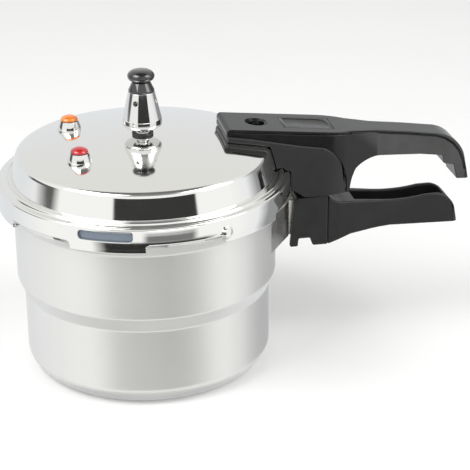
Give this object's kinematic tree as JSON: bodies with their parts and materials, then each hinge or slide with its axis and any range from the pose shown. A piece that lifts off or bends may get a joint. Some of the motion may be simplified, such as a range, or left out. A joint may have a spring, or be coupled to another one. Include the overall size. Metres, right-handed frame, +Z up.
{
  "type": "stovetop pressure cooker",
  "caption": "Stovetop pressure cooker: round metal vessel with a bayonet dome lid, weighted steam regulator, sprung safety valves and long black handles.",
  "frame": {"origin": "centre of the flat base, on the surface it stands on", "axes": "+X along the two handles, +Z up along the axis of the vessel"},
  "size_m": [0.3378, 0.205, 0.2137],
  "materials": {
    "brushed_vessel": "satin brushed",
    "polished_steel": "mirror polished",
    "black_phenolic": "satin moulded",
    "black_panel": "fine matt",
    "gasket_rubber": "matt",
    "seal_rubber": "matt",
    "dark_washer": "satin",
    "chrome": "bright plated",
    "gloss_black": "glossy",
    "red_cap": "glossy",
    "orange_cap": "glossy",
    "plain_steel": "turned"
  },
  "bodies": {
    "pot": {"pot_body": "brushed_vessel", "pot_handle_bracket": "polished_steel", "pot_handle_collar": "black_phenolic", "pot_handle_grip": "black_phenolic", "pot_handle_screws": "plain_steel", "pot_handle_washers": "plain_steel", "pot_handle_nuts": "plain_steel"},
    "lid": {"lid_shell": "polished_steel", "sealing_gasket": "gasket_rubber", "lid_handle_cover": "black_phenolic", "handle_panel": "black_panel", "lid_handle_saddle": "black_phenolic", "lid_handle_tongue": "plain_steel", "lid_handle_screws": "plain_steel", "vent_pipe": "chrome", "vent_washer": "dark_washer", "vent_seal": "seal_rubber", "vent_nut": "plain_steel", "vent_cage": "plain_steel", "red_valve_bell": "chrome", "red_valve_body": "plain_steel", "red_valve_seal": "seal_rubber", "red_valve_nut": "plain_steel", "red_valve_spring": "plain_steel", "orange_valve_bell": "chrome", "orange_valve_body": "plain_steel", "orange_valve_seal": "seal_rubber", "orange_valve_nut": "plain_steel", "orange_valve_spring": "plain_steel", "float_valve_bushing": "plain_steel", "float_valve_seal": "seal_rubber", "float_valve_nut": "plain_steel"},
    "regulator": {"regulator_weight": "chrome", "regulator_collar": "gloss_black", "regulator_knob": "gloss_black", "regulator_needle": "plain_steel"},
    "red_valve": {"red_valve_plunger": "plain_steel", "red_valve_cap": "red_cap"},
    "orange_valve": {"orange_valve_plunger": "plain_steel", "orange_valve_cap": "orange_cap"},
    "float_valve": {"float_valve_pin": "plain_steel"}
  },
  "joints": [
    {"name": "lid_turn", "type": "hinge", "parent": "pot", "child": "lid", "pos_m": [0, 0, 0.126], "axis": [0, 0, 1], "range_deg": [0, 30]},
    {"name": "regulator_lift", "type": "slide", "parent": "lid", "child": "regulator", "axis": [0, 0, 1], "range_m": [0, 0.03]},
    {"name": "red_valve_lift", "type": "slide", "parent": "lid", "child": "red_valve", "axis": [0, 0, 1], "range_m": [0, 0.002], "stiffness_N_per_m": 300, "springref_m": -0.003, "deforming": ["red_valve_spring"]},
    {"name": "orange_valve_lift", "type": "slide", "parent": "lid", "child": "orange_valve", "axis": [0, 0, 1], "range_m": [0, 0.002], "stiffness_N_per_m": 300, "springref_m": -0.003, "deforming": ["orange_valve_spring"]},
    {"name": "float_valve_rise", "type": "slide", "parent": "lid", "child": "float_valve", "axis": [0, 0, 1], "range_m": [0, 0.0037]}
  ]
}
